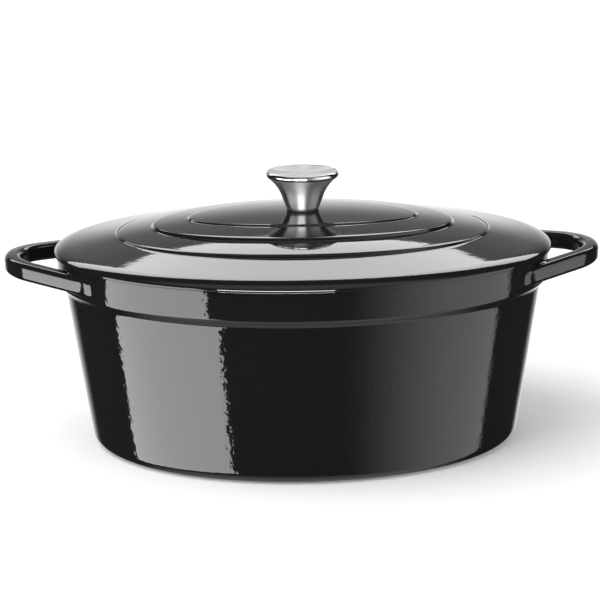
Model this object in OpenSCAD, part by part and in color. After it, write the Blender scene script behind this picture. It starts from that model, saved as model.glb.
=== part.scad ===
// Oval cast iron dutch oven: an enamelled pot cast in one piece with its two loop handles, a stepped
// domed lid, and a hollow steel knob held by one screw from below.
// Origin: middle of the foot ring. +X along the length, +Y to the back, +Z up.

/* [Oval] */
// Length of the lid's outline
oval_len = 316; // [300:1:380]
// Width of the lid's outline
oval_wid = 248; // [236:1:298]

/* [Pot] */
// Height of the rim above the table
pot_h = 124.5; // [100:0.5:150]
// Wall thickness, measured level
wall_t = 4.2; // [3:0.1:6]
// Floor thickness
floor_t = 5; // [3.5:0.1:7]
// Lean of the wall from upright, in degrees
draft = 8.1; // [4:0.1:10]
// Outside radius where wall meets base
base_round = 8; // [4:0.5:12]
// Inside radius where wall meets floor
inner_round = 12; // [6:0.5:16]
// Height of the foot ring under the base
foot_h = 0.8; // [0.4:0.1:1.5]
// Width of the foot ring
foot_w = 11; // [6:1:20]
// Depth of the thick band below the rim
band_h = 17.5; // [12:0.5:24]
// How far the band stands out from the wall
band_out = 4.7; // [2:0.1:6]
// How far the lid overhangs the rim
lid_overhang = 1.5; // [0.5:0.1:3]

/* [Handles] */
// How far each loop reaches beyond the lid
handle_reach = 32; // [26:0.5:45]
// Outside radius of the loop's end
handle_end_r = 42; // [34:0.5:46]
// Width of the bar, seen from above
bar_w = 10.5; // [8:0.5:14]
// Height of the bar
bar_h = 11; // [9:0.5:14]
// Radius on the bar's long edges
bar_round = 3.2; // [2:0.1:4.4]
// Depth of the bar's middle below the rim
bar_drop = 8; // [7:0.5:12]
// How far the handles rise outwards, in degrees
handle_rise = 4; // [0:0.5:6]
// How deep the bar's outer face ends in the band
root_sink = 3.1; // [1:0.1:5]

/* [Lid] */
// Thickness of the lid
lid_t = 4; // [3:0.1:6]
// Radius of the lid's shoulder
shoulder_r = 3.3; // [2:0.1:5]
// Upright part of the lid's edge
edge_h = 1.1; // [0.5:0.1:3]
// Distance from the edge to the first ring
ring_inset = 39.5; // [34:0.5:41]
// Distance from one ring to the next
ring_gap = 22.8; // [16:0.1:22.8]
// Depth of the locating rib under the lid
rib_h = 4; // [2:0.5:8]
// Thickness of the locating rib
rib_t = 3; // [2:0.1:5]
// Gap between the rib and the pot's wall
rib_clear = 1.2; // [0.8:0.1:2.5]

/* [Knob] */
// Height of the knob above its gasket
knob_h = 24; // [20:0.5:32]
// Largest diameter of the knob
knob_d = 46.8; // [40:0.2:56]
// Diameter of the knob's foot
knob_foot_d = 20.6; // [18:0.2:26]
// Thickness of the knob's sheet steel
knob_t = 1.2; // [0.8:0.1:2]
// Depth of the dish in the knob's top
dish_h = 1.2; // [0.4:0.1:2]
// Thickness of the gasket under the knob
gasket_t = 1; // [0.5:0.1:2]

/* [Screw] */
// Thread diameter of the knob screw
screw_d = 5; // [4:0.5:6]
// Radial play of the screw in the lid and washers
screw_play = 0.25; // [0.1:0.05:0.5]
// Length of thread in the knob
screw_grip = 8; // [6:0.5:12]

/* [Hidden] */
$fn = 128;

// Four-centre oval on a 3-4-5 triangle: an end arc and a side arc in each quarter meet on the line
// from one centre through the other, where the outline's normal is (0.6, 0.8).
half_l = oval_len / 2;
half_w = oval_wid / 2;
unit = (half_l - half_w) / 2;
end_c = 3 * unit;
side_c = 4 * unit;
end_r = half_l - end_c;
side_r = half_w + side_c;
reach = 250;
overlap = 1;

// Pot: every offset is measured inwards from the lid's outline.
function wall_off(z) = lid_overhang + band_out + (pot_h - band_h - band_out - z) * tan(draft);
function inner_off(z) = wall_off(z) + wall_t;
floor_z = foot_h + floor_t;
foot_out = wall_off(base_round) + base_round / cos(draft);
foot_in = foot_out + foot_w;
fillet_off = inner_off(floor_z + inner_round) + inner_round / cos(draft);
band_z = pot_h - band_h;
rim_round = 1;

// Handles: the end arc's angle leaves each arm's outer face root_sink deep in the band.
bar_z = pot_h - bar_drop;
handle_c = half_l + handle_reach - handle_end_r;
handle_a = acos((end_r - lid_overhang - root_sink - handle_end_r) / (handle_c - end_c));
bar_c = handle_end_r - bar_w / 2;
sleeve_len = 3;
sleeve_grow = 0.05;
arm_len = (handle_c - end_c) * sin(handle_a);

// Lid: terraces rise gently inwards and steep risers part them, listed from the edge to the middle.
terrace_rise = [4.75, 3.55, 2.7, 2.4];
riser_h = [2.4, 1.7, 0.9];
riser_run = 0.8;
rings = len(riser_h);
edge_round = 0.8;
shoulder_z = pot_h + edge_h + shoulder_r;
function total(list, count) = count == 0 ? 0 : list[count - 1] + total(list, count - 1);
function ring_off(i) = ring_inset + i * ring_gap;
function ring_low(i) = shoulder_z + total(terrace_rise, i + 1) + total(riser_h, i);
cap_off = ring_off(rings - 1) + 0.75 * (end_r - ring_off(rings - 1));
cap_z = shoulder_z + total(terrace_rise, rings + 1) + total(riser_h, rings);
rib_off = inner_off(pot_h - rib_h) + rib_clear;
pad_h = 0.3;
pad_rim = 1.7;
pad_top = cap_z + pad_h;
seat_drop = 3.7;
seat_z = cap_z - lid_t - seat_drop;

// Knob: a steep stem, a flare and a rolled lip, with the dished cap let into the lip.
knob_z = pad_top + gasket_t;
knob_top = knob_z + knob_h;
knob_r = knob_d / 2;
foot_r = knob_foot_d / 2;
stem_lean = 20;
flare_lean = 54;
flare_r = 26;
lip_r = 1.9;
lip_c = [knob_r - lip_r, knob_top - lip_r];
flare_c = lip_c + (lip_r + flare_r) * [cos(flare_lean), -sin(flare_lean)];
cap_r = knob_r - lip_r;
cap_drop = 0.1;
plate_t = 1.5;
plate_r = foot_r - knob_t / cos(stem_lean) - 0.05;
boss_wall = 2.5;

// Screw and washers, stacked down from the seat under the lid.
screw_r = screw_d / 2;
thread_play = 0.05;
washer_t = 1;
washer_rim = 2.5;
lock_t = 1.2;
lock_rim = 2.1;
lock_gap = 0.8;
head_rim = 2.25;
head_h = 3.4;
head_round = 1;
recess_len = 4.6;
recess_w = 1.1;
recess_h = 2;
washer_z = seat_z - washer_t;
lock_z = washer_z - lock_t;
head_z = lock_z - head_h;

// Points along an arc round c from angle a to angle b, ends included.
function arc(c, r, a, b, steps = 6) = [for (i = [0:steps]) c + r * [cos(a + (b - a) * i / steps),
                                                                   sin(a + (b - a) * i / steps)]];

// Carries a profile round the oval and fills it in to the middle. The profile's x runs outwards from
// the outline, its y is height, and each arc's turned solid is cut to that arc's own sector.
module oval_sweep() {
    for (turn = [0, 180]) rotate(turn) {
        intersection() {
            translate([end_c, 0, 0]) turned(end_r) children();
            sector([[end_c, 0], [end_c + 0.6 * reach, -0.8 * reach],
                    [end_c + 0.6 * reach, 0.8 * reach]]);
        }
        intersection() {
            translate([0, -side_c, 0]) turned(side_r) children();
            sector([[-end_c, 0], [end_c, 0], [end_c + 0.6 * reach, 0.8 * reach],
                    [-end_c - 0.6 * reach, 0.8 * reach]]);
        }
    }
}

// A profile turned about an axis r inside the outline.
module turned(r) {
    rotate_extrude() intersection() {
        translate([r, 0]) children();
        translate([0, -reach]) square([2 * reach, 2 * reach]);
    }
}

// A tall prism over the given corners.
module sector(corners) {
    translate([0, 0, -reach]) linear_extrude(2 * reach) polygon(corners);
}

// Pot wall, rim, band and floor.
module pot_profile() {
    polygon(concat(
        [[-side_r, foot_h], [-foot_in - foot_h, foot_h], [-foot_in, 0]],
        arc([-foot_out, base_round], base_round, -90, -draft),
        [[-lid_overhang - band_out, band_z - band_out], [-lid_overhang, band_z]],
        arc([-lid_overhang - rim_round, pot_h - rim_round], rim_round, 0, 90, 3),
        arc([-inner_off(pot_h) + rim_round, pot_h - rim_round], rim_round, 90, 180, 3),
        arc([-fillet_off, floor_z + inner_round], inner_round, -draft, -90),
        [[-side_r, floor_z]]));
}

// The space inside the wall, run up past the rim.
module cavity_profile() {
    polygon(concat(
        [[-side_r, pot_h + overlap], [-side_r, floor_z]],
        arc([-fillet_off, floor_z + inner_round], inner_round, -90, -draft),
        [[-inner_off(pot_h - rim_round), pot_h - rim_round],
         [-inner_off(pot_h - rim_round), pot_h + overlap]]));
}

// Cross-section of a handle's bar: a rectangle with rounded edges, made larger all round by grow.
module bar_section(grow = 0) {
    square([bar_w - 2 * bar_round, bar_h + 2 * grow], center = true);
    square([bar_w + 2 * grow, bar_h - 2 * bar_round], center = true);
    for (x = [-1, 1], y = [-1, 1])
        translate([x * (bar_w / 2 - bar_round), y * (bar_h / 2 - bar_round)])
            circle(bar_round + grow);
}

// One loop handle: a round end and two straight arms that run into the band, all rising outwards. A
// short sleeve, a hair larger than the bar, ties each arm to the round end.
module handle() {
    translate([half_l, 0, bar_z]) rotate([0, -handle_rise, 0]) translate([handle_c - half_l, 0, 0]) {
        rotate(-handle_a) rotate_extrude(angle = 2 * handle_a) translate([bar_c, 0]) bar_section();
        for (side = [-1, 1])
            translate([bar_c * cos(handle_a), side * bar_c * sin(handle_a), 0])
                rotate([90, 0, 90 + side * (90 + handle_a)]) {
                    linear_extrude(arm_len) bar_section();
                    translate([0, 0, -sleeve_len / 2])
                        linear_extrude(sleeve_len) bar_section(sleeve_grow);
                }
    }
}

module pot() {
    color("#1b1b1c") difference() {
        union() {
            oval_sweep() pot_profile();
            for (side = [0, 1]) mirror([side, 0, 0]) handle();
        }
        oval_sweep() cavity_profile();
    }
}

// Lid skin from edge to cap, with the locating rib underneath.
module lid_profile() {
    polygon(concat(
        [[-rib_off, pot_h], [-edge_round, pot_h], [0, pot_h + edge_round]],
        arc([-shoulder_r, pot_h + edge_h], shoulder_r, 0, 90),
        [for (i = [0:rings - 1], end = [0, 1])
            [-ring_off(i) - end * riser_run, ring_low(i) + end * riser_h[i]]],
        [[-cap_off, cap_z], [-side_r, cap_z], [-side_r, cap_z - lid_t],
         [-cap_off - overlap, cap_z - lid_t]],
        [for (i = [rings - 1:-1:0], end = [1, 0])
            [-ring_off(i) - end * riser_run - lid_t, ring_low(i) + end * riser_h[i] - lid_t]],
        [[-rib_off - rib_t, pot_h + edge_h], [-rib_off - rib_t, pot_h - rib_h],
         [-rib_off, pot_h - rib_h]]));
}

module lid() {
    color("#1b1b1c") difference() {
        union() {
            oval_sweep() lid_profile();
            translate([0, 0, seat_z]) cylinder(h = pad_top - seat_z, r = foot_r + pad_rim);
        }
        translate([0, 0, seat_z - overlap])
            cylinder(h = pad_top - seat_z + 2 * overlap, r = screw_r + screw_play);
    }
}

// A flat ring from z upwards.
module ring(z, h, outer, inner) {
    translate([0, 0, z]) difference() {
        cylinder(h = h, r = outer);
        translate([0, 0, -overlap]) cylinder(h = h + 2 * overlap, r = inner);
    }
}

module knob_gasket() {
    color("#141414") ring(pad_top, gasket_t, foot_r - 0.3, screw_r + screw_play);
}

// Stem, flare and lip, one side of the sheet: skin is 0 outside and knob_t inside.
function knob_side(skin) = concat(
    [[foot_r - skin / cos(stem_lean), knob_z]],
    [for (p = arc(flare_c, flare_r + skin, 180 - stem_lean, 180 - flare_lean)) p],
    arc(lip_c, lip_r - skin, -flare_lean, 90, 8));

module knob_shell() {
    inside = knob_side(knob_t);
    color("#c3c4c6") rotate_extrude()
        polygon(concat(knob_side(0), [for (i = [len(inside) - 1:-1:0]) inside[i]]));
}

module knob_cap() {
    steps = 5;
    top = [for (i = [0:steps]) [cap_r * i / steps, knob_top - cap_drop
                                                   - dish_h * (1 - pow(i / steps, 2))]];
    color("#cfd0d2") rotate_extrude()
        polygon(concat(top, [for (i = [steps:-1:0]) top[i] - [0, knob_t]]));
}

module knob_boss() {
    color("#a9aaac") difference() {
        union() {
            translate([0, 0, knob_z]) cylinder(h = plate_t, r = plate_r);
            translate([0, 0, knob_z]) cylinder(h = screw_grip + boss_wall, r = screw_r + boss_wall);
        }
        translate([0, 0, knob_z - overlap])
            cylinder(h = screw_grip + 2 * overlap, r = screw_r + thread_play);
    }
}

module knob_screw() {
    color("#b5b6b8") difference() {
        union() {
            translate([0, 0, lock_z - overlap])
                cylinder(h = knob_z + screw_grip - lock_z + overlap, r = screw_r);
            rotate_extrude() polygon(concat(
                [[0, lock_z], [0, head_z]],
                arc([screw_r + head_rim - head_round, head_z + head_round], head_round, -90, 0),
                [[screw_r + head_rim, lock_z]]));
        }
        for (turn = [0, 90]) rotate(turn) translate([0, 0, head_z + recess_h / 2 - overlap / 2])
            cube([recess_len, recess_w, recess_h + overlap], center = true);
    }
}

module flat_washer() {
    color("#bcbdbf") ring(washer_z, washer_t, screw_r + washer_rim, screw_r + screw_play);
}

// Spring washer, split so that its ends can spread.
module lock_washer() {
    color("#9fa0a2") difference() {
        ring(lock_z, lock_t, screw_r + lock_rim, screw_r + screw_play);
        translate([0, -lock_gap / 2, lock_z - overlap])
            cube([screw_r + lock_rim + overlap, lock_gap, lock_t + 2 * overlap]);
    }
}

pot();
lid();
knob_gasket();
knob_shell();
knob_cap();
knob_boss();
knob_screw();
flat_washer();
lock_washer();
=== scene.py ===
"""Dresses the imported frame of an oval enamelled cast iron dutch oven: pot, lid, knob and studio.

Sizes are millimetres until a mesh is made, where MM turns them to metres. The frame has its origin
in the middle of the foot ring, +X along the oval, +Y to the back and +Z up.
"""

from __future__ import annotations

import logging
import math
from dataclasses import dataclass, field
from enum import Enum
from typing import Iterable, Sequence

import bmesh
import bpy
import numpy as np
from bpy.types import ID, Material, Mesh, Node, NodeSocket, NodeTree, Object
from bpy.types import bpy_prop_collection as Sockets
from mathutils import Matrix, Vector

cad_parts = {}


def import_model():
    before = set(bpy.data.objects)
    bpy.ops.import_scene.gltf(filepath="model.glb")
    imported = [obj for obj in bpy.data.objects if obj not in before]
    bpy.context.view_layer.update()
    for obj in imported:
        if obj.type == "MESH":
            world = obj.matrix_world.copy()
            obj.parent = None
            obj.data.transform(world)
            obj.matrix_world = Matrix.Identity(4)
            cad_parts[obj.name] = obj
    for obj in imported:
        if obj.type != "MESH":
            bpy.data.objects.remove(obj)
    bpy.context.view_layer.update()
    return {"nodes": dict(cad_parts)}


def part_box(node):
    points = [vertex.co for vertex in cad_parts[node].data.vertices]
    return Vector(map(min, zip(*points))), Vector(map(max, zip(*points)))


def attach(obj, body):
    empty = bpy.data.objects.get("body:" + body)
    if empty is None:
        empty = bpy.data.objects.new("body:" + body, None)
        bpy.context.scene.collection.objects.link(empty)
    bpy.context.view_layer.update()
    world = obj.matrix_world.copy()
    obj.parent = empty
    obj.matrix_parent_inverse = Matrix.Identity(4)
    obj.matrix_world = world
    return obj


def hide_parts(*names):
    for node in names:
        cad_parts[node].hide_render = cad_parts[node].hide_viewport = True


LOG = logging.getLogger("dutch_oven")
MM = 0.001
# What shapes a ring apart from its profile, with the scale from millimetres of each number.
RING_SCALES = {"crown": MM, "base": 1.0, "gather": 1.0, "circle": MM, "zone": 1.0}
# Ends of a profile that meet on the axis fall within this distance, in millimetres.
MERGE_DISTANCE = 0.004
# The longest step round a profile's corner in degrees, and the share of a stretch that a corner takes.
ARC_STEP, CORNER_SHARE = 11, 0.49


class Zone(Enum):
    """Which finish a stretch of a profile takes, as the number kept on its points."""

    OUTSIDE = 0.0
    RIM = 1.0
    INSIDE = 2.0


def linear(hex_colour: str) -> tuple[float, float, float, float]:
    """Turns an sRGB hex colour to the linear values that shaders take.

    Args:
        hex_colour: Six hex digits after a hash sign.

    Returns:
        Linear red, green and blue, and an alpha of 1.
    """
    values = [int(hex_colour[i : i + 2], 16) / 255 for i in (1, 3, 5)]
    flat = [v / 12.92 if v <= 0.04045 else ((v + 0.055) / 1.055) ** 2.4 for v in values]
    return (*flat, 1.0)


def plug(node: Node, inputs: dict | Sequence) -> None:
    """Sets or links a node's inputs.

    Args:
        node: The node.
        inputs: Values or output sockets by input name or number, or a sequence from input 0 on. A
            node stands for its first output, and None leaves an input alone.
    """
    for key, value in inputs.items() if isinstance(inputs, dict) else enumerate(inputs):
        if isinstance(value, Node):
            value = value.outputs[0]
        if isinstance(value, NodeSocket):
            node.id_data.links.new(value, node.inputs[key])
        elif value is not None:
            node.inputs[key].default_value = value


def add_node(
    tree: NodeTree, kind: str, inputs: dict | Sequence = (), **settings: str
) -> Node:
    """Adds a node with its settings, values and links.

    Args:
        tree: The shader or geometry tree.
        kind: The node's type name.
        inputs: What plug() takes.
        **settings: Properties of the node itself.

    Returns:
        The new node.
    """
    node = tree.nodes.new(kind)
    for name, value in settings.items():
        setattr(node, name, value)
    plug(node, inputs)
    return node


def linked(name: str, data: ID) -> Object:
    """Makes an object and puts it in the scene.

    Args:
        name: The object's name.
        data: Its mesh, light or camera.

    Returns:
        The object, at the origin.
    """
    made = bpy.data.objects.new(name, data)
    bpy.context.scene.collection.objects.link(made)
    return made


def towards(azimuth: float, elevation: float) -> Vector:
    """Gives a direction as seen from the object.

    Args:
        azimuth: Degrees round from the front, rightwards.
        elevation: Degrees above the floor.

    Returns:
        The direction, one unit long.
    """
    around, up = math.radians(azimuth), math.radians(elevation)
    return Vector((math.sin(around) * math.cos(up), -math.cos(around) * math.cos(up), math.sin(up)))


# ---------------------------------------------------------------------------------------- finishes


def blank_finish(name: str) -> tuple[Material, Node, NodeSocket]:
    """Starts a material.

    Args:
        name: The finish's name.

    Returns:
        The material, its shader and the place in the object that patterns hang on.
    """
    made = bpy.data.materials.new(name)
    made.use_nodes = True
    place = add_node(made.node_tree, "ShaderNodeTexCoord").outputs["Object"]
    return made, made.node_tree.nodes["Principled BSDF"], place


@dataclass(frozen=True)
class GlossEnamel:
    """Vitreous enamel, sprayed and fired: a glassy coat that lies in faint waves like orange peel."""

    name: str
    colour: str
    roughness: float = 0.045
    ior: float = 1.52
    ripple_mm: float = 3.4
    ripple_depth_mm: float = 0.017
    swell_mm: float = 16.0
    swell_depth_mm: float = 0.03

    def material(self) -> Material:
        """Builds the enamel.

        Returns:
            The material: a glassy black or cream with two sizes of wave in its surface.
        """
        made, shader, place = blank_finish(self.name)
        tree, normal = made.node_tree, None
        waves = ((self.swell_mm, self.swell_depth_mm, 1.0), (self.ripple_mm, self.ripple_depth_mm, 1.5))
        for size, depth, detail in waves:
            noise = {"Vector": place, "Scale": 1 / (size * MM), "Detail": detail}
            height = add_node(tree, "ShaderNodeTexNoise", noise)
            bump = {"Strength": 1.0, "Distance": depth * MM, "Height": height, "Normal": normal}
            normal = add_node(tree, "ShaderNodeBump", bump)
        coat = {"Base Color": linear(self.colour), "Roughness": self.roughness, "IOR": self.ior}
        plug(shader, {**coat, "Normal": normal})
        return made


@dataclass(frozen=True)
class DullCoat:
    """A dark skin without a gloss: the thin ground coat on the rims, or moulded silicone."""

    name: str
    colour: str
    roughness: float = 0.5
    gloss_spread: float = 0.1
    ior: float = 1.5
    grain_mm: float = 0.9
    grain_depth_mm: float = 0.02
    detail: float = 3.0

    def material(self) -> Material:
        """Builds the coat.

        Returns:
            The material: near black and dry, with a fine grain in its gloss and surface.
        """
        made, shader, place = blank_finish(self.name)
        tree = made.node_tree
        noise = {"Vector": place, "Scale": 1 / (self.grain_mm * MM), "Detail": self.detail}
        grain = add_node(tree, "ShaderNodeTexNoise", noise)
        low, high = self.roughness - self.gloss_spread, self.roughness + self.gloss_spread
        gloss = add_node(tree, "ShaderNodeMapRange", {"Value": grain, "To Min": low, "To Max": high})
        bump = {"Strength": 1.0, "Distance": self.grain_depth_mm * MM, "Height": grain}
        normal = add_node(tree, "ShaderNodeBump", bump)
        coat = {"Base Color": linear(self.colour), "Roughness": gloss, "IOR": self.ior}
        plug(shader, {**coat, "Normal": normal})
        return made


@dataclass(frozen=True)
class TurnedSteel:
    """Stainless steel turned on a lathe: fine rings round the axis that stretch its highlights."""

    name: str
    colour: str = "#d2d2d3"
    roughness: float = 0.26
    stretch: float = 0.6
    ring_mm: float = 0.4
    ring_depth_mm: float = 0.0002

    def material(self) -> Material:
        """Builds the turned steel.

        Returns:
            The material: a metal with radial marks. Real marks are about 0.1 mm apart, which is too
            fine to show, so the rings are drawn coarser.
        """
        made, shader, place = blank_finish(self.name)
        tree = made.node_tree
        # A wave texture of scale s repeats every pi / (10 s).
        marks = {"Vector": place, "Scale": math.pi / (10 * self.ring_mm * MM)}
        marks |= {"Distortion": 0.6, "Detail": 2.0, "Detail Scale": 0.4}
        wave = add_node(tree, "ShaderNodeTexWave", marks, wave_type="RINGS", rings_direction="Z")
        rings = wave.outputs["Fac"]
        low, high = self.roughness - 0.03, self.roughness + 0.05
        gloss = add_node(tree, "ShaderNodeMapRange", {"Value": rings, "To Min": low, "To Max": high})
        bump = {"Strength": 1.0, "Distance": self.ring_depth_mm * MM, "Height": rings}
        normal = add_node(tree, "ShaderNodeBump", bump)
        tangent = add_node(tree, "ShaderNodeTangent", direction_type="RADIAL", axis="Z")
        metal = {"Base Color": linear(self.colour), "Metallic": 1.0, "Roughness": gloss}
        # A quarter turn lays the blur across the marks.
        brushed = {"Anisotropic": self.stretch, "Anisotropic Rotation": 0.25, "Tangent": tangent}
        plug(shader, {**metal, **brushed, "Normal": normal})
        return made


@dataclass(frozen=True)
class Coats:
    """The enamel coats of a casting."""

    black: Material
    matt: Material
    cream: Material


# ---------------------------------------------------------------------------------------- profiles


@dataclass(frozen=True)
class Corner:
    """A corner of a profile.

    inset runs inwards from the oval outline and height upwards, both at the middle of a long side.
    crown is how far the dome falls from its crown to the outline, and base the share of that fall
    already counted in height. Gather draws a ring towards a circle of the given radius, 1 all the way.
    """

    inset: float
    height: float
    radius: float = 0.0
    crown: float = 0.0
    base: float = 0.0
    gather: float = 0.0
    circle: float = 0.0
    zone: Zone = Zone.OUTSIDE

    def row(self) -> np.ndarray:
        """Returns the corner's numbers, apart from its radius, as one row."""
        return np.array(
            [self.inset, self.height, self.crown, self.base, self.gather, self.circle, self.zone.value]
        )


def rounded(corners: Sequence[Corner], spacing: float) -> np.ndarray:
    """Rounds a profile's corners with true arcs and divides its straight stretches.

    Args:
        corners: The corners in order.
        spacing: The longest step along a straight stretch.

    Returns:
        One row of numbers for each point of the profile.
    """
    rows: list[np.ndarray] = []
    for index, corner in enumerate(corners):
        here = corner.row()
        if corner.radius <= 0 or index in (0, len(corners) - 1):
            piece = [here]
        else:
            before = corners[index - 1].row()[:2] - here[:2]
            after = corners[index + 1].row()[:2] - here[:2]
            long_before, long_after = np.linalg.norm(before), np.linalg.norm(after)
            before, after = before / long_before, after / long_after
            turn = math.pi - math.acos(float(np.clip(before @ after, -1, 1)))
            room = CORNER_SHARE * min(long_before, long_after)
            reach = min(corner.radius * math.tan(turn / 2), room)
            radius = reach / math.tan(turn / 2)
            middle = here[:2] + (before + after) / np.linalg.norm(before + after) * math.hypot(radius, reach)
            first, last = here[:2] + before * reach - middle, here[:2] + after * reach - middle
            steps = max(3, math.ceil(math.degrees(turn) / ARC_STEP))
            piece = []
            for step in range(steps + 1):
                t = step / steps
                spot = (math.sin((1 - t) * turn) * first + math.sin(t * turn) * last) / math.sin(turn)
                row = here.copy()
                row[:2] = middle + spot
                piece.append(row)
        if rows:
            start = rows[-1]
            gap = np.linalg.norm(piece[0][:2] - start[:2])
            for step in range(1, math.ceil(gap / spacing)):
                rows.append(start + (piece[0] - start) * step / math.ceil(gap / spacing))
        rows.extend(piece)
    return np.array(rows)


def profile_object(name: str, rows: np.ndarray, closed: bool) -> Object:
    """Makes the profile's line as a mesh that the ring tree reads.

    Args:
        name: The object's name.
        rows: The profile's points from rounded().
        closed: Whether the last point joins the first.

    Returns:
        The new object, with one attribute for each number that shapes the ring.
    """
    count = len(rows)
    edges = [(i, i + 1) for i in range(count - 1)] + ([(count - 1, 0)] if closed else [])
    mesh = bpy.data.meshes.new(name)
    mesh.from_pydata([(-r[0] * MM, -r[1] * MM, 0) for r in rows], edges, [])
    for column, (attribute, scale) in enumerate(RING_SCALES.items(), start=2):
        layer = mesh.attributes.new(attribute, "FLOAT", "POINT")
        layer.data.foreach_set("value", (rows[:, column] * scale).astype(np.float32))
    return linked(name, mesh)


# ------------------------------------------------------------------------------------ the two trees


def new_tree(name: str, sockets: dict[str, str]) -> tuple[NodeTree, Sockets]:
    """Starts a geometry tree with one output.

    Args:
        name: The tree's name.
        sockets: The kind of each named input.

    Returns:
        The tree and its inputs as sockets to link from.
    """
    tree = bpy.data.node_groups.new(name, "GeometryNodeTree")
    for title, kind in sockets.items():
        tree.interface.new_socket(title, in_out="INPUT", socket_type="NodeSocket" + kind)
    tree.interface.new_socket("Geometry", in_out="OUTPUT", socket_type="NodeSocketGeometry")
    return tree, add_node(tree, "NodeGroupInput").outputs


def add_outline(tree: NodeTree, given: Sockets) -> Node:
    """Adds the nodes that make the oval outline.

    The outline is given by its distance from the middle along each normal n, h = h0 + h2 cos 2a +
    h4 cos 4a, so that a profile set square to it makes true parallel rings. Its points are h n + h' t.

    Args:
        tree: The ring tree.
        given: The tree's inputs.

    Returns:
        The node that gives the curve, with its normals upright.
    """
    ring = {"Resolution": given["Segments"], "Radius": 1.0}
    circle = add_node(tree, "GeometryNodeCurvePrimitiveCircle", ring)
    normal = add_node(tree, "GeometryNodeInputPosition")
    axes = add_node(tree, "ShaderNodeSeparateXYZ", (normal,)).outputs
    known = {"length": given["Half Length"], "width": given["Half Width"], "x": axes[0], "y": axes[1]}
    known["fullness"] = given["Fullness"]
    sums = (
        ("total", "ADD", "length", "width"),
        ("spread", "SUBTRACT", "length", "width"),
        ("mean", "MULTIPLY", "total", 0.5),
        ("h0", "ADD", "mean", "fullness"),
        ("h2", "MULTIPLY", "spread", 0.5),
        ("h4", "MULTIPLY", "fullness", -1.0),
        ("xx", "MULTIPLY", "x", "x"),
        ("yy", "MULTIPLY", "y", "y"),
        ("xy", "MULTIPLY", "x", "y"),
        ("cos2", "SUBTRACT", "xx", "yy"),
        ("sin2", "MULTIPLY", "xy", 2.0),
        ("square", "MULTIPLY", "cos2", "cos2"),
        ("cos4", "MULTIPLY_ADD", "square", 2.0, -1.0),
        ("both", "MULTIPLY", "sin2", "cos2"),
        ("sin4", "MULTIPLY", "both", 2.0),
        ("wide", "MULTIPLY_ADD", "h2", "cos2", "h0"),
        ("height", "MULTIPLY_ADD", "h4", "cos4", "wide"),
        ("h2 sin2", "MULTIPLY", "h2", "sin2"),
        ("h4 sin4", "MULTIPLY", "h4", "sin4"),
        ("first", "MULTIPLY", "h2 sin2", -2.0),
        ("slope", "MULTIPLY_ADD", "h4 sin4", -4.0, "first"),
        ("back", "MULTIPLY", "y", -1.0),
    )
    for name, operation, *terms in sums:
        known[name] = add_node(tree, "ShaderNodeMath", [known.get(t, t) for t in terms], operation=operation)
    vector_node = "ShaderNodeVectorMath"
    along = add_node(tree, "ShaderNodeCombineXYZ", (known["back"], axes[0], 0.0))
    out = add_node(tree, vector_node, {0: normal, "Scale": known["height"]}, operation="SCALE")
    aside = add_node(tree, vector_node, {0: along, "Scale": known["slope"]}, operation="SCALE")
    spot = add_node(tree, vector_node, (out, aside), operation="ADD")
    oval = add_node(tree, "GeometryNodeSetPosition", {"Geometry": circle, "Position": spot})
    return add_node(tree, "GeometryNodeSetCurveNormal", {"Curve": oval}, mode="Z_UP")


def add_final_place(
    tree: NodeTree, given: Sockets, held: dict[str, Node]
) -> Node:
    """Adds the nodes that draw the rings towards a circle and dome them.

    Args:
        tree: The ring tree.
        given: The tree's inputs.
        held: The profile's attributes by name.

    Returns:
        The node that says where each point goes.
    """
    vector_node = "ShaderNodeVectorMath"
    here = add_node(tree, "GeometryNodeInputPosition")
    place = add_node(tree, "ShaderNodeSeparateXYZ", (here,)).outputs
    flat = add_node(tree, "ShaderNodeCombineXYZ", (place[0], place[1], 0.0))
    length = add_node(tree, vector_node, (flat,), operation="LENGTH").outputs["Value"]
    direction = add_node(tree, vector_node, (flat,), operation="NORMALIZE")
    drawn = add_node(tree, "ShaderNodeMix", (held["gather"], None, length, held["circle"]))
    gathered = add_node(tree, vector_node, {0: direction, "Scale": drawn}, operation="SCALE")
    sides = add_node(tree, "ShaderNodeSeparateXYZ", (gathered,)).outputs
    known = {**held, "x": sides[0], "y": sides[1], "z": place[2]}
    known |= {"length": given["Half Length"], "width": given["Half Width"]}
    sums = (
        ("u", "DIVIDE", "x", "length"),
        ("v", "DIVIDE", "y", "width"),
        ("uu", "MULTIPLY", "u", "u"),
        ("share", "MULTIPLY_ADD", "v", "v", "uu"),
        ("less", "SUBTRACT", "base", "share"),
        ("level", "MULTIPLY_ADD", "crown", "less", "z"),
    )
    for name, operation, *terms in sums:
        known[name] = add_node(tree, "ShaderNodeMath", [known.get(t, t) for t in terms], operation=operation)
    return add_node(tree, "ShaderNodeCombineXYZ", (sides[0], sides[1], known["level"]))


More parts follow.
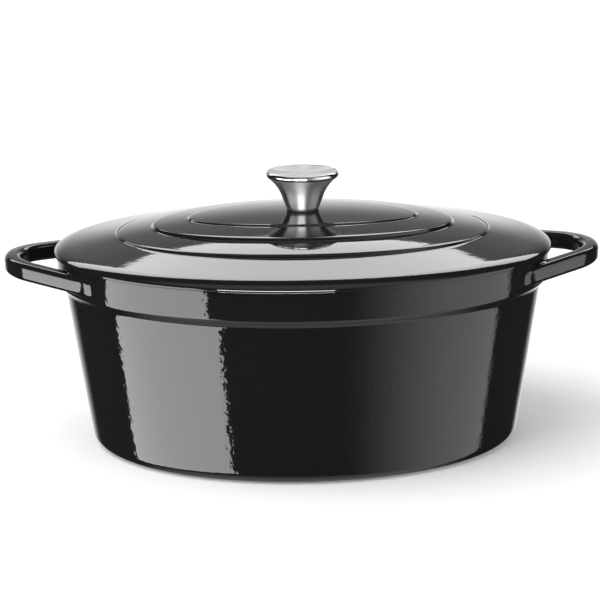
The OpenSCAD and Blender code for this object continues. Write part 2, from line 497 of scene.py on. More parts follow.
def ring_tree() -> NodeTree:
    """Builds the tree that carries a profile round the oval.

    Returns:
        The geometry tree, with the oval's sizes and the three finishes as named inputs.
    """
    sockets = {"Profile": "Geometry", "Half Length": "Float", "Half Width": "Float", "Fullness": "Float"}
    sockets |= {"Segments": "Int", "Outside": "Material", "Rim": "Material", "Inside": "Material"}
    tree, given = new_tree("ring of a profile", sockets)
    outline = add_outline(tree, given)
    profile = add_node(tree, "GeometryNodeMeshToCurve", {"Mesh": given["Profile"]})
    swept = add_node(tree, "GeometryNodeCurveToMesh", {"Curve": outline, "Profile Curve": profile})
    held = {
        name: add_node(tree, "GeometryNodeInputNamedAttribute", {"Name": name}, data_type="FLOAT")
        for name in RING_SCALES
    }
    final = add_final_place(tree, given, held)
    moved = add_node(tree, "GeometryNodeSetPosition", {"Geometry": swept, "Position": final})
    seam = {"Geometry": moved, "Distance": MERGE_DISTANCE * MM}
    merged = add_node(tree, "GeometryNodeMergeByDistance", seam)
    smooth = add_node(tree, "GeometryNodeSetShadeSmooth", {"Geometry": merged})
    dressed = add_node(tree, "GeometryNodeRealizeInstances", {"Geometry": smooth})
    # Each limit lies between two zones' numbers, as the attribute blends from point to face.
    for name, limit in (("Outside", None), ("Rim", 0.75), ("Inside", 1.75)):
        finish = {"Geometry": dressed, "Material": given[name]}
        if limit is not None:
            above = (held["zone"], limit)
            finish["Selection"] = add_node(tree, "FunctionNodeCompare", above, operation="GREATER_THAN")
        dressed = add_node(tree, "GeometryNodeSetMaterial", finish)
    add_node(tree, "NodeGroupOutput", (dressed,))
    return tree


def bar_tree() -> NodeTree:
    """Builds the tree that carries a rounded bar along a path.

    Returns:
        The geometry tree, with the bar's sizes and its finish as named inputs.
    """
    sockets = {"Path": "Geometry", "Width": "Float", "Height": "Float", "Edge Radius": "Float"}
    tree, given = new_tree("bar along a path", {**sockets, "Finish": "Material"})
    path = add_node(tree, "GeometryNodeMeshToCurve", {"Mesh": given["Path"]})
    upright = add_node(tree, "GeometryNodeSetCurveNormal", {"Curve": path}, mode="Z_UP")
    size = {"Width": given["Width"], "Height": given["Height"]}
    outline = add_node(tree, "GeometryNodeCurvePrimitiveQuadrilateral", size)
    edge = {"Curve": outline, "Radius": given["Edge Radius"], "Count": 9, "Limit Radius": True}
    soft = add_node(tree, "GeometryNodeFilletCurve", edge, mode="POLY")
    sweep = {"Curve": upright, "Profile Curve": soft, "Fill Caps": True}
    swept = add_node(tree, "GeometryNodeCurveToMesh", sweep)
    smooth = add_node(tree, "GeometryNodeSetShadeSmooth", {"Geometry": swept})
    real = add_node(tree, "GeometryNodeRealizeInstances", {"Geometry": smooth})
    dressed = add_node(tree, "GeometryNodeSetMaterial", {"Geometry": real, "Material": given["Finish"]})
    add_node(tree, "NodeGroupOutput", (dressed,))
    return tree


def grown(source: Object, tree: NodeTree, values: dict, name: str) -> Object:
    """Runs a geometry tree on an object and keeps the result as a plain mesh.

    Args:
        source: The object that the tree reads. It is removed.
        tree: The geometry tree.
        values: The tree's inputs by name.
        name: The new object's name.

    Returns:
        The new object at the origin, with its normals outwards and no modifier.
    """
    modifier = source.modifiers.new("grow", "NODES")
    modifier.node_group = tree
    for item in tree.interface.items_tree:
        if item.in_out == "INPUT" and item.name in values:
            modifier[item.identifier] = values[item.name]
    graph = bpy.context.evaluated_depsgraph_get()
    graph.update()
    mesh = bpy.data.meshes.new_from_object(source.evaluated_get(graph), depsgraph=graph)
    bpy.data.objects.remove(source)
    mesh.name = name
    for attribute in RING_SCALES:
        if attribute in mesh.attributes:
            mesh.attributes.remove(mesh.attributes[attribute])
    shell = bmesh.new()
    shell.from_mesh(mesh)
    bmesh.ops.recalc_face_normals(shell, faces=shell.faces)
    shell.to_mesh(mesh)
    shell.free()
    return linked(name, mesh)


# ------------------------------------------------------------------------------------------ pieces


@dataclass
class Oval:
    """The lid's outline, which every ring of the pot and lid runs parallel to."""

    half_length: float
    half_width: float
    fullness: float = 0.9
    segments: int = 384

    def values(self, coats: Coats) -> dict:
        """Gives the ring tree's inputs.

        Args:
            coats: The enamel coats.

        Returns:
            The inputs by name, in metres.
        """
        return {
            "Half Length": self.half_length * MM,
            "Half Width": self.half_width * MM,
            "Fullness": self.fullness * MM,
            "Segments": self.segments,
            "Outside": coats.black,
            "Rim": coats.matt,
            "Inside": coats.cream,
        }

    def outside_by(self, x: np.ndarray, y: np.ndarray) -> tuple[np.ndarray, np.ndarray]:
        """Measures how far points lie outside the outline, taken as four arcs.

        The arcs' centres make four triangles with sides as 3, 4 and 5.

        Args:
            x: Their x values.
            y: Their y values.

        Returns:
            The distance outside the outline, negative inside, and the outward direction there.
        """
        unit = (self.half_length - self.half_width) / 2
        end, side = 3 * unit, 4 * unit
        to_end = np.stack([np.abs(x) - end, np.abs(y)], -1)
        to_side = np.stack([np.abs(x), np.abs(y) + side], -1)
        at_end = to_end[..., 1] * 3 < to_end[..., 0] * 4
        way = np.where(at_end[..., None], to_end, to_side)
        far = np.linalg.norm(way, axis=-1)
        distance = far - np.where(at_end, self.half_length - end, self.half_width + side)
        way = way / np.maximum(far, 1e-9)[..., None]
        return distance, way * np.stack([np.where(x < 0, -1, 1), np.where(y < 0, -1, 1)], -1)


@dataclass
class LoopHandle:
    """A cast loop handle: a bar with rounded edges, a round end and two arms that melt into the band."""

    oval: Oval
    rim_z: float
    overhang: float
    band_height: float
    side: int
    reach: float = 31.8
    end_radius: float = 42.0
    bar_width: float = 10.5
    bar_height: float = 11.0
    edge_radius: float = 3.2
    drop: float = 8.0
    rise: float = 4.0
    root_sink: float = 3.1
    buried: float = 4.4
    melt: float = 2.2
    step: float = 1.6
    middle_x: float = field(init=False)
    splay: float = field(init=False)
    arm: float = field(init=False)

    def __post_init__(self) -> None:
        """Works out where the round end is centred and where the arms run."""
        end = 1.5 * (self.oval.half_length - self.oval.half_width)
        self.middle_x = self.oval.half_length + self.reach - self.end_radius
        inside = self.oval.half_length - end - self.overhang - self.root_sink - self.end_radius
        self.splay = math.acos(inside / (self.middle_x - end))
        self.arm = (self.middle_x - end) * math.sin(self.splay)

    @property
    def bend(self) -> float:
        """Radius of the bar's middle line round the end."""
        return self.end_radius - self.bar_width / 2

    def arm_points(self, sign: int) -> list[np.ndarray]:
        """Lists the middle line of one arm.

        Args:
            sign: 1 for the arm at the back, -1 for the one in front.

        Returns:
            Its points from the round end to the root, measured from the round end's centre.
        """
        foot = np.array([math.cos(self.splay), sign * math.sin(self.splay)]) * self.bend
        along = np.array([-math.sin(self.splay), sign * math.cos(self.splay)])
        steps = math.ceil(self.arm / self.step)
        return [foot + along * self.arm * i / steps for i in range(1, steps + 1)]

    def path(self) -> list[tuple[float, float, float]]:
        """Lists the bar's middle line from one buried root to the other.

        Returns:
            The points in millimetres, rising outwards from the lid's end.
        """
        angles = np.linspace(-self.splay, self.splay, math.ceil(2 * self.splay * self.bend / self.step) + 1)
        arc = [np.array([math.cos(a), math.sin(a)]) * self.bend for a in angles]
        points = [*reversed(self.arm_points(-1)), *arc, *self.arm_points(1)]
        rise = math.radians(self.rise)
        out = [self.middle_x + p[0] - self.oval.half_length for p in points]
        z = self.rim_z - self.drop
        return [
            (self.side * (self.oval.half_length + o * math.cos(rise)), p[1], z + o * math.sin(rise))
            for o, p in zip(out, points)
        ]

    def swelling(self, places: np.ndarray) -> np.ndarray:
        """Says how far the bar swells near the band, so that the two meet in a fillet.

        Args:
            places: The bar's points, in millimetres.

        Returns:
            The swelling, which is nothing from melt outwards.
        """
        face = self.oval.outside_by(places[:, 0], places[:, 1])[0] + self.overhang
        under = (face + (self.rim_z - self.band_height) - places[:, 2]) / math.sqrt(2)
        near = np.clip(self.melt - np.maximum(np.maximum(face, under), 0), 0, self.melt)
        return near * near / (4 * self.melt)

    def build(self, tree: NodeTree, finish: Material) -> Object:
        """Builds the bar and melts its roots into the band.

        Args:
            tree: The tree from bar_tree().
            finish: The bar's material.

        Returns:
            The handle as a closed mesh whose roots end inside the pot's wall.
        """
        points = self.path()
        mesh = bpy.data.meshes.new("handle_path")
        edges = [(i, i + 1) for i in range(len(points) - 1)]
        mesh.from_pydata([[v * MM for v in p] for p in points], edges, [])
        values = {
            "Width": self.bar_width * MM,
            "Height": self.bar_height * MM,
            "Edge Radius": self.edge_radius * MM,
            "Finish": finish,
        }
        name = "handle_right" if self.side > 0 else "handle_left"
        made = grown(linked("handle_path", mesh), tree, values, name)
        places = vertex_places(made.data)
        normals = np.array([v.normal for v in made.data.vertices])
        places += normals * self.swelling(places)[:, None]
        depth, way = self.oval.outside_by(places[:, 0], places[:, 1])
        push = np.maximum(-self.buried - depth, 0)
        places[:, :2] += way * push[:, None]
        made.data.vertices.foreach_set("co", (places * MM).astype(np.float32).ravel())
        made.data.update()
        return made


def vertex_places(mesh: Mesh) -> np.ndarray:
    """Reads a mesh's vertices.

    Args:
        mesh: The mesh.

    Returns:
        One row for each vertex, in millimetres.
    """
    flat = np.empty(len(mesh.vertices) * 3, np.float32)
    mesh.vertices.foreach_get("co", flat)
    return flat.reshape(-1, 3).astype(float) / MM


@dataclass
class PotCasting:
    """The pot: a leaning wall on a foot ring, a thick band under the rim and two loop handles."""

    oval: Oval
    rim_z: float
    wall: float = 4.2
    floor: float = 5.0
    lean: float = 8.1
    base_round: float = 8.0
    inner_round: float = 12.0
    foot: float = 0.8
    foot_width: float = 11.0
    foot_round: float = 0.6
    overhang: float = 1.5
    band_out: float = 4.7
    band_height: float = 17.5
    band_draft: float = 0.3
    band_foot_round: float = 1.5
    undercut_lift: float = 0.2
    undercut_round: float = 2.6
    rim_round: float = 0.9
    lip_round: float = 1.4
    rim_edges: tuple[float, float] = (1.2, 1.0)
    centre_inset: float = 60.0
    centre_steps: int = 8
    spacing: float = 2.2

    def wall_inset(self, z: float) -> float:
        """Returns the outside wall's inset at a height."""
        under_band = self.rim_z - self.band_height - self.band_out
        return self.overhang + self.band_out + (under_band - z) * math.tan(math.radians(self.lean))

    def corners(self) -> list[Corner]:
        """Lists the corners of the wall's section from the middle of the base round to the floor's.

        Returns:
            The corners, outside first, then the rim, then the inside.
        """
        band_z = self.rim_z - self.band_height
        floor_z = self.foot + self.floor
        foot_out = self.wall_inset(self.base_round) + self.base_round / math.cos(math.radians(self.lean))
        foot_in = foot_out + self.foot_width
        steps, centre = self.centre_steps, self.centre_inset
        lip = self.wall_inset(self.rim_z) + self.wall
        under_inset = self.overhang + self.band_out + self.undercut_lift
        rim_out, rim_in = self.rim_edges
        return [
            *(Corner(centre, self.foot, gather=1 - i / steps) for i in range(steps)),
            Corner(centre, self.foot),
            Corner(foot_in + self.foot, self.foot, self.foot_round),
            Corner(foot_in, 0, self.foot_round),
            Corner(self.wall_inset(0), 0, self.base_round),
            Corner(under_inset, band_z - self.band_out, self.undercut_round),
            Corner(self.overhang + self.band_draft, band_z, self.band_foot_round),
            Corner(self.overhang, self.rim_z, self.rim_round),
            Corner(self.overhang + rim_out, self.rim_z, zone=Zone.RIM),
            Corner(lip - rim_in, self.rim_z, zone=Zone.RIM),
            Corner(lip, self.rim_z, self.lip_round, zone=Zone.INSIDE),
            Corner(self.wall_inset(floor_z) + self.wall, floor_z, self.inner_round, zone=Zone.INSIDE),
            Corner(centre, floor_z, zone=Zone.INSIDE),
            *(Corner(centre, floor_z, gather=(i + 1) / steps, zone=Zone.INSIDE) for i in range(steps)),
        ]

    def build(self, rings: NodeTree, bars: NodeTree, coats: Coats) -> Object:
        """Builds the casting with both handles melted into its band.

        Args:
            rings: The tree from ring_tree().
            bars: The tree from bar_tree().
            coats: The enamel coats.

        Returns:
            The pot as one closed mesh.
        """
        source = profile_object("pot_profile", rounded(self.corners(), self.spacing), closed=False)
        pot = grown(source, rings, self.oval.values(coats), "pot_casting")
        for side in (-1, 1):
            handle = LoopHandle(self.oval, self.rim_z, self.overhang, self.band_height, side)
            join(pot, handle.build(bars, coats.black))
        return pot


def join(whole: Object, piece: Object) -> None:
    """Fuses a closed piece into another as one solid, and removes the piece.

    Args:
        whole: The object that grows.
        piece: The object that is fused in.
    """
    cut = whole.modifiers.new("fuse", "BOOLEAN")
    cut.operation = "UNION"
    cut.solver = "EXACT"
    cut.object = piece
    graph = bpy.context.evaluated_depsgraph_get()
    graph.update()
    fused = bpy.data.meshes.new_from_object(whole.evaluated_get(graph), depsgraph=graph)
    whole.modifiers.remove(cut)
    old = whole.data
    fused.name = old.name
    whole.data = fused
    bpy.data.meshes.remove(old)
    bpy.data.objects.remove(piece)


@dataclass
class LidCasting:
    """The lid: a rounded edge, four gently domed terraces parted by risers, and a rib underneath.

    falls and drops give each terrace from the edge inwards: how far the dome under it falls from its
    crown to the outline, and how far that crown lies below the lid's top.
    """

    oval: Oval
    seat_z: float
    top_z: float
    thickness: float = 4.0
    edge: float = 0.8
    shoulder: float = 11.0
    shoulder_steps: int = 16
    upright: float = 0.9
    ring_insets: tuple[float, ...] = (39.4, 62.1, 85.0)
    falls: tuple[float, ...] = (13.83, 17.5, 17.5, 17.5)
    drops: tuple[float, ...] = (5.9, 2.6, 0.9, 0.0)
    skirt_crown: float = 5.0
    riser_run: float = 0.9
    ridge_round: float = 0.9
    foot_round: float = 1.5
    rib_inset: float = 9.0
    rib_width: float = 3.0
    rib_depth: float = 4.0
    rib_round: float = 0.8
    rib_outer_foot_round: float = 0.5
    rib_inner_foot_round: float = 1.2
    rib_inner_rise: float = 1.6
    rib_clearance: float = 2.5
    hole: float = 2.75
    boss: float = 12.0
    boss_depth: float = 8.0
    boss_flare: float = 3.0
    last_inset: float = 94.0
    centre_steps: int = 10
    terrace_step: float = 3.6
    spacing: float = 3.0

    def share(self, inset: float) -> float:
        """Returns the share of the dome's fall at an inset, on the long side."""
        return (1 - inset / self.oval.half_width) ** 2

    def on_terrace(self, terrace: int, inset: float, sunk: float, radius: float = 0.0) -> Corner:
        """Places a corner on a terrace.

        Args:
            terrace: Which terrace, from the edge inwards.
            inset: How far in from the outline.
            sunk: How far below the terrace's surface.
            radius: The corner's radius.

        Returns:
            The corner, which follows the dome all the way round.
        """
        crown, share = self.falls[terrace], self.share(inset)
        if terrace == 0:
            outer, inner = self.share(self.shoulder), self.share(self.ring_insets[0])
            part = (inset - self.shoulder) / (self.ring_insets[0] - self.shoulder)
            share, crown = outer + (inner - outer) * part, self.skirt_crown
        height = self.top_z - self.drops[terrace] - self.falls[terrace] * share - sunk
        return Corner(inset, height, radius, crown, self.share(inset))

    def skin(self, sunk: float) -> list[Corner]:
        """Lists the corners of the stepped dome, from the shoulder to the last ring.

        Args:
            sunk: How far below the top surface, which also moves the steps inwards.

        Returns:
            The corners from the edge inwards.
        """
        made: list[Corner] = []
        start = self.shoulder if sunk == 0 else self.rib_inset + self.rib_width + self.rib_clearance
        last = len(self.falls) - 1
        for terrace in range(last + 1):
            stop = self.last_inset if terrace == last else self.ring_insets[terrace] + sunk
            count = max(2, math.ceil((stop - start) / self.terrace_step))
            for i in range(count):
                inset = start + (stop - start) * i / count
                radius = self.ridge_round if i == 0 and terrace > 0 else 0.0
                made.append(self.on_terrace(terrace, inset, sunk, radius))
            made.append(self.on_terrace(terrace, stop, sunk, 0.0 if terrace == last else self.foot_round))
            start = stop + self.riser_run
        return made

    def roll(self) -> list[Corner]:
        """Lists the shoulder's corners, a soft curve that leaves the outer terrace and turns upright.

        Returns:
            The corners from the terrace down to the edge.
        """
        inner = self.on_terrace(0, self.shoulder, 0)
        ring = self.on_terrace(0, self.ring_insets[0], 0)
        slope = (ring.height - inner.height) / (ring.inset - inner.inset)
        low, knee = self.seat_z + self.upright, inner.height - slope * self.shoulder
        made = []
        for step in range(self.shoulder_steps - 1, -1, -1):
            t = step / self.shoulder_steps
            inset = self.shoulder * t * t
            height = (1 - t) ** 2 * low + 2 * t * (1 - t) * knee + t * t * inner.height
            made.append(Corner(inset, height, crown=self.skirt_crown * t * t, base=self.share(inset)))
        return made

    def edge_corners(self) -> list[Corner]:
        """Lists the corners of the rolled edge, the seat and the rib that keeps the lid in place.

        Returns:
            The corners from the shoulder to the inside of the rib.
        """
        rib_z, rib_in = self.seat_z - self.rib_depth, self.rib_inset + self.rib_width
        return [
            *self.roll(),
            Corner(0, self.seat_z, self.edge),
            Corner(self.edge + 1, self.seat_z),
            Corner(self.rib_inset, self.seat_z, self.rib_outer_foot_round, zone=Zone.RIM),
            Corner(self.rib_inset, rib_z, self.rib_round, zone=Zone.RIM),
            Corner(rib_in, rib_z, self.rib_round, zone=Zone.RIM),
            Corner(rib_in, self.seat_z + self.rib_inner_rise, self.rib_inner_foot_round, zone=Zone.INSIDE),
        ]

    def corners(self) -> list[Corner]:
        """Lists the corners of the lid's section, closed through the screw's hole.

        Returns:
            The corners from the hole's upper edge out over the top and back underneath.
        """
        inset, fall, steps = self.last_inset, self.falls[-1], self.centre_steps
        boss_z, under = self.top_z - self.boss_depth, self.top_z - self.thickness
        crown = [
            Corner(inset, self.top_z, crown=fall, gather=1 - i / steps, circle=self.hole)
            for i in range(steps)
        ]
        below = [
            Corner(c.inset, c.height, c.radius, c.crown, c.base, zone=Zone.INSIDE)
            for c in self.skin(self.thickness)
        ]
        wide = self.boss + self.boss_flare
        gather = [
            Corner(inset, under, crown=fall, gather=i / steps, circle=wide, zone=Zone.INSIDE)
            for i in range(1, steps + 1)
        ]
        # The boss's side, as steps out from its radius and up from its face: a fillet, then a soft edge.
        side = ((1.5, 3.6), (0.6, 3.0), (0.2, 2.2), (0, 1.0), (-0.3, 0.3), (-1, 0))
        boss = [
            Corner(inset, boss_z + rise, gather=1, circle=self.boss + out, zone=Zone.INSIDE)
            for out, rise in side
        ]
        mouth = [Corner(inset, boss_z, gather=1, circle=self.hole, zone=Zone.INSIDE)]
        return crown + self.skin(0)[::-1] + self.edge_corners() + below + gather + boss + mouth

    def build(self, rings: NodeTree, coats: Coats) -> Object:
        """Builds the lid.

        Args:
            rings: The tree from ring_tree().
            coats: The enamel coats.

        Returns:
            The lid as one closed mesh.
        """
        source = profile_object("lid_profile", rounded(self.corners(), self.spacing), closed=True)
        return grown(source, rings, self.oval.values(coats), "lid_casting")


@dataclass
class TurnedKnob:
    """The knob: a hollow trumpet of turned steel and a dished cap let into its rolled lip."""

    foot_z: float
    top_z: float
    radius: float
    foot_radius: float = 10.3
    sheet: float = 1.2
    flare_radius: float = 26.0
    flare_lean: float = 54.0
    stem_lean: float = 20.0
    lip: float = 1.9
    dish: float = 1.2
    cap_drop: float = 0.12
    cap_gap: float = 0.08
    cap_bevel: float = 0.12
    cap_ease: float = 0.02
    polish_below_lip: float = 0.2
    stem_steps: int = 5
    arc_steps: int = 16
    dish_steps: int = 24
    segments: int = 192

    def arc(self, middle: np.ndarray, radius: float, start: float, stop: float) -> list[np.ndarray]:
        """Lists points on an arc.

        Args:
            middle: The arc's centre, as distance from the axis and height.
            radius: Its radius.
            start: Its first angle in degrees.
            stop: Its last angle.

        Returns:
            The points, ends included.
        """
        angles = np.radians(np.linspace(start, stop, self.arc_steps + 1))
        return [middle + radius * np.array([math.cos(a), math.sin(a)]) for a in angles]

    def side(self, skin: float) -> list[np.ndarray]:
        """Lists the points of one face of the sheet, from the foot to the lip.

        Args:
            skin: How far inside the outer face.

        Returns:
            The points, as distance from the axis and height.
        """
        lip_middle = np.array([self.radius - self.lip, self.top_z - self.lip])
        lean = math.radians(self.flare_lean)
        away = np.array([math.cos(lean), -math.sin(lean)])
        flare_middle = lip_middle + (self.lip + self.flare_radius) * away
        foot = np.array([self.foot_radius - skin / math.cos(math.radians(self.stem_lean)), self.foot_z])
        stops = (180 - self.stem_lean, 180 - self.flare_lean)
        flare = self.arc(flare_middle, self.flare_radius + skin, *stops)
        roll = self.arc(lip_middle, self.lip - skin, -self.flare_lean, 90)
        stem = [foot + (flare[0] - foot) * i / self.stem_steps for i in range(self.stem_steps)]
        return stem + flare + roll

    def turned(
        self, tree: NodeTree, name: str, corners: list[Corner], closed: bool, finishes: dict
    ) -> Object:
        """Turns a profile about the knob's axis.

        Args:
            tree: The tree from ring_tree().
            name: The piece's name.
            corners: The profile, all of it drawn to circles, so that the outline's own size is free.
            closed: Whether the profile is a loop.
            finishes: The tree's three materials by name.

        Returns:
            The piece.
        """
        source = profile_object(name + "_profile", np.array([c.row() for c in corners]), closed)
        values = {"Half Length": 0.1, "Half Width": 0.1, "Fullness": 0.0, "Segments": self.segments}
        return grown(source, tree, {**values, **finishes}, name)

    def build(self, tree: NodeTree, satin: Material, bright: Material) -> list:
        """Builds the shell and the cap.

        Args:
            tree: The tree from ring_tree().
            satin: The turned finish.
            bright: The polished finish of the lip.

        Returns:
            The shell and the cap.
        """
        finishes = {"Outside": satin, "Rim": bright, "Inside": satin}
        outer, inner = self.side(0), self.side(self.sheet)
        polished = self.top_z - 2 * self.lip - self.polish_below_lip
        shell = [
            Corner(0, z, gather=1, circle=r, zone=Zone.RIM if z > polished else Zone.OUTSIDE)
            for r, z in [*outer, *reversed(inner)]
        ]
        cap_r = self.radius - self.lip - self.cap_gap
        top = self.top_z - self.cap_drop
        spread = [i / self.dish_steps for i in range(self.dish_steps + 1)]
        dish = [(cap_r * t, top - self.dish * (1 - t**3)) for t in spread]
        eased = top - self.cap_ease
        bevel = [(cap_r - self.cap_bevel, eased), (cap_r, eased - self.cap_bevel)]
        rim = (cap_r, top - self.sheet)
        back = [(r, z - self.sheet) for r, z in reversed(dish[:-1])]
        cap = [Corner(0, z, gather=1, circle=r) for r, z in [*dish[:-1], *bevel, rim, *back]]
        return [
            self.turned(tree, "knob_trumpet", shell, True, finishes),
            self.turned(tree, "knob_dish", cap, False, finishes),
        ]


# ------------------------------------------------------------------------------------------ studio


@dataclass(frozen=True)
class Card:
    """A studio card or softbox: where it stands round the object, its size and how bright it is."""

    name: str
    azimuth: float
    elevation: float
    distance: float
    width: float
    height: float
    brightness: float

    def build(self, aim: Vector) -> Object:
        """Builds the card as an area light that faces the object.

        Args:
            aim: The point that it faces.

        Returns:
            The light. Its power gives the brightness over its face.
        """
        data = bpy.data.lights.new(self.name, "AREA")
        data.shape = "RECTANGLE"
        data.size, data.size_y = self.width, self.height
        data.energy = self.brightness * math.pi * self.width * self.height
        made = linked(self.name, data)
        way = towards(self.azimuth, self.elevation)
        made.location = aim + way * self.distance
        made.rotation_euler = way.to_track_quat("Z", "Y").to_euler()
        made.visible_camera = False
        made.visible_diffuse = False
        return made


@dataclass(frozen=True)
class Glow:
    """How the room's brightness changes along one axis of the direction that a reflection looks in."""

    axis: int
    start: float
    stop: float
    low: float
    high: float
    soft: bool = True


@dataclass
class Studio:
    """A plain white sweep, soft lights and the camera."""

    aim: Vector = field(default_factory=lambda: Vector((-0.0024, 0, 0.088)))
    camera_azimuth: float = -2.67
    camera_elevation: float = 14.73
    camera_distance: float = 1.134
    roll: float = 0.69
    lens: float = 105.6
    sensor: float = 36.0
    floor_size: float = 14.0
    floor_colour: str = "#f4f4f4"
    floor_lift: float = 0.12
    key_azimuth: float = -70.0
    key_elevation: float = 52.0
    key_spread: float = 60.0
    key_strength: float = 2.0
    room_light: float = 0.72
    card_aim: Vector = field(default_factory=lambda: Vector((0, 0, 0.1)))
    cards: tuple[Card, ...] = (
        Card("left_card", -63, -17.5, 2.5, 2.39, 2.6, 5.7),
        Card("front_box", -10.5, 7, 2.5, 1.87, 0.62, 32.0),
        Card("overhead_box", 180, 35, 1.5, 2.15, 0.31, 3.5),
    )
    behind: Glow = Glow(1, 0.72, 0.95, 0.02, 1.0)
    horizon: Glow = Glow(2, 0.04, 0.3, 1.25, 0.36)
    rightwards: Glow = Glow(0, 0.2, 0.92, 0.0, 1.6)
    facing: Glow = Glow(1, 0.05, 0.11, 1.0, 0.0, soft=False)
    below: Glow = Glow(2, -0.95, -0.72, 0.6, 0.0)
    above: Glow = Glow(2, 0.8, 0.92, 0.0, 0.45)

    def place_camera(self) -> None:
        """Stands the camera in front, a little above, with the slight roll of a hand-set tripod."""
        data = bpy.data.cameras.new("camera")
        data.lens = self.lens
        data.sensor_width = self.sensor
        camera = linked("camera", data)
        way = towards(self.camera_azimuth, self.camera_elevation)
        camera.location = self.aim + way * self.camera_distance
        turn = way.to_track_quat("Z", "Y").to_matrix().to_4x4()
        camera.rotation_euler = (turn @ Matrix.Rotation(math.radians(-self.roll), 4, "Z")).to_euler()
        bpy.context.scene.camera = camera

    def key(self) -> None:
        """Adds the soft key light from the left, which only gives the floor and matt parts their shade."""
        data = bpy.data.lights.new("key", "SUN")
        data.energy = self.key_strength
        data.angle = math.radians(self.key_spread)
        made = linked("key", data)
        way = towards(self.key_azimuth, self.key_elevation)
        made.rotation_euler = way.to_track_quat("Z", "Y").to_euler()
        made.visible_glossy = False

    def floor(self) -> Object:
        """Builds the floor.

        Returns:
            A wide plane at the foot ring's height, kept out of reflections so that dark walls stay
            dark.
        """
        half = self.floor_size / 2
        corners = [(-half, -half, 0), (half, -half, 0), (half, half, 0), (-half, half, 0)]
        mesh = bpy.data.meshes.new("floor")
        mesh.from_pydata(corners, [], [(0, 1, 2, 3)])
        # Dull white paper with a little light of its own, so that it meets the white behind it.
        paper = bpy.data.materials.new("white_paper")
        paper.use_nodes = True
        skin = {"Base Color": linear(self.floor_colour), "Roughness": 0.9, "Specular IOR Level": 0.0}
        lift = {"Emission Color": (1, 1, 1, 1), "Emission Strength": self.floor_lift}
        plug(paper.node_tree.nodes["Principled BSDF"], {**skin, **lift})
        mesh.materials.append(paper)
        made = linked("floor", mesh)
        made.visible_glossy = False
        return made

    def surroundings(self) -> None:
        """Makes the room: white to the camera, dark in front for reflections and pale behind."""
        world = bpy.data.worlds.new("studio")
        bpy.context.scene.world = world
        world.use_nodes = True
        tree = world.node_tree
        tree.nodes.clear()
        way = add_node(tree, "ShaderNodeTexCoord").outputs["Generated"]
        axes = add_node(tree, "ShaderNodeSeparateXYZ", (way,)).outputs
        glows = []
        for glow in (self.behind, self.horizon, self.rightwards, self.facing, self.below, self.above):
            span = {"From Min": glow.start, "From Max": glow.stop, "To Min": glow.low, "To Max": glow.high}
            shape = "SMOOTHSTEP" if glow.soft else "LINEAR"
            ramp = {"Value": axes[glow.axis], **span}
            glows.append(add_node(tree, "ShaderNodeMapRange", ramp, interpolation_type=shape))
        behind, horizon, rightwards, facing, below, above = glows
        backdrop = add_node(tree, "ShaderNodeMath", (behind, horizon), operation="MULTIPLY")
        wing = add_node(tree, "ShaderNodeMath", (rightwards, facing), operation="MULTIPLY")
        sides = add_node(tree, "ShaderNodeMath", (backdrop, wing), operation="ADD")
        ends = add_node(tree, "ShaderNodeMath", (below, above), operation="ADD")
        mirrored = add_node(tree, "ShaderNodeMath", (sides, ends), operation="ADD")
        rays = add_node(tree, "ShaderNodeLightPath").outputs
        lit = (rays["Is Diffuse Ray"], None, mirrored, self.room_light)
        shade = add_node(tree, "ShaderNodeMix", lit)
        seen = add_node(tree, "ShaderNodeMix", (rays["Is Camera Ray"], None, shade, 1.0))
        light = add_node(tree, "ShaderNodeBackground", {"Color": (1, 1, 1, 1), "Strength": seen})
        add_node(tree, "ShaderNodeOutputWorld", (light,))

    def build(self) -> None:
        """Sets up the camera, floor, lights and room."""
        bpy.context.scene.view_settings.view_transform = "Standard"
        self.place_camera()
        self.floor()
        self.key()
        self.surroundings()
        for card in self.cards:
            card.build(self.card_aim)


def dress(node: Object, material: Material) -> None:
    """Gives a frame node its material.

    Args:
        node: The node's object.
        material: The finish.
    """
    if not node.data.materials:
        node.data.materials.append(material)
    for held in node.material_slots:
        held.material = material
    LOG.info("%s: frame node in %s", node.name, material.name)


def settle(piece: Object, body: str, nodes: Iterable[str]) -> None:
    """Hangs a finished piece on its body, hides what it stands for and logs its triangle count.

    Args:
        piece: The finished piece.
        body: The body that it rides on.
        nodes: The frame nodes that it replaces.
    """
    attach(piece, body)
    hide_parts(*nodes)
    piece.data.calc_loop_triangles()
    LOG.info("%s: %d triangles on %s", piece.name, len(piece.data.loop_triangles), body)


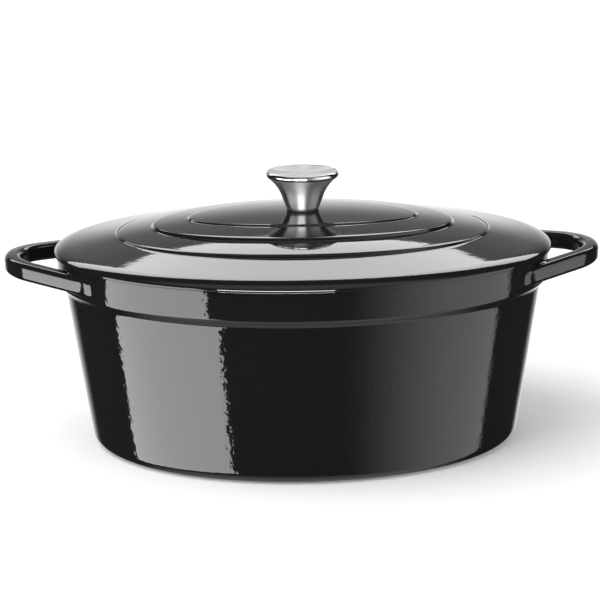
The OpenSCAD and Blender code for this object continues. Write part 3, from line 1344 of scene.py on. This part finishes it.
def main() -> None:
    """Loads the frame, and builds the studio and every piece."""
    logging.basicConfig(level=logging.INFO, format="%(name)s: %(message)s")
    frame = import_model()
    Studio().build()

    lid_low, lid_high = (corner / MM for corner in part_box("lid"))
    rim_z = (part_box("pot")[1] / MM).z
    knob_low, knob_high = (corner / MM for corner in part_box("knob_shell"))
    oval = Oval(lid_high.x, lid_high.y)
    rings, bars = ring_tree(), bar_tree()

    # Deep black glass: sharp reflections whose edges wander a little.
    black = GlossEnamel("black_gloss_enamel", "#19191a", ripple_depth_mm=0.07, swell_depth_mm=0.06).material()
    # The same glass, laid flatter on the lid, so that its reflections have cleaner edges.
    lid_black = GlossEnamel("black_lid_enamel", "#19191a", ripple_depth_mm=0.014).material()
    # A dry dark line where the gloss stops at the rims.
    matt = DullCoat("matt_black_rim", "#161617").material()
    # Warm pale glass with softer lights, which sets the inside off from the black.
    cream = GlossEnamel("cream_enamel", "#e6dfcf", roughness=0.12).material()
    # Bright metal whose lights fan out from the knob's axis.
    satin = TurnedSteel("satin_turned_steel", roughness=0.4, stretch=0.88).material()
    # A crisp bright line round the knob's lip.
    bright = TurnedSteel("polished_steel_lip", roughness=0.12, stretch=0.2).material()
    # Greyer, plainer metal that tells the fasteners from the knob.
    plain = TurnedSteel("plain_screw_steel", "#a9aaac", roughness=0.32, stretch=0.0).material()
    # Soft black without a shine, the thin dark gap under the knob.
    rubber = {"roughness": 0.65, "gloss_spread": 0.0, "ior": 1.41, "detail": 2.0}
    moulded = {"grain_mm": 0.4, "grain_depth_mm": 0.01}
    silicone = DullCoat("black_silicone", "#101011", **rubber, **moulded).material()

    pot = PotCasting(oval, rim_z).build(rings, bars, Coats(black, matt, cream))
    settle(pot, "pot", ["pot"])
    lid = LidCasting(oval, rim_z, lid_high.z).build(rings, Coats(lid_black, matt, cream))
    settle(lid, "lid", ["lid"])
    knob = TurnedKnob(knob_low.z, knob_high.z, knob_high.x)
    for piece, node in zip(knob.build(rings, satin, bright), ("knob_shell", "knob_cap")):
        settle(piece, "lid", [node])
    dress(frame["nodes"]["knob_gasket"], silicone)
    dress(frame["nodes"]["knob_boss"], satin)
    for name in ("knob_screw", "flat_washer", "lock_washer"):
        dress(frame["nodes"][name], plain)


if __name__ == "__main__":
    main()
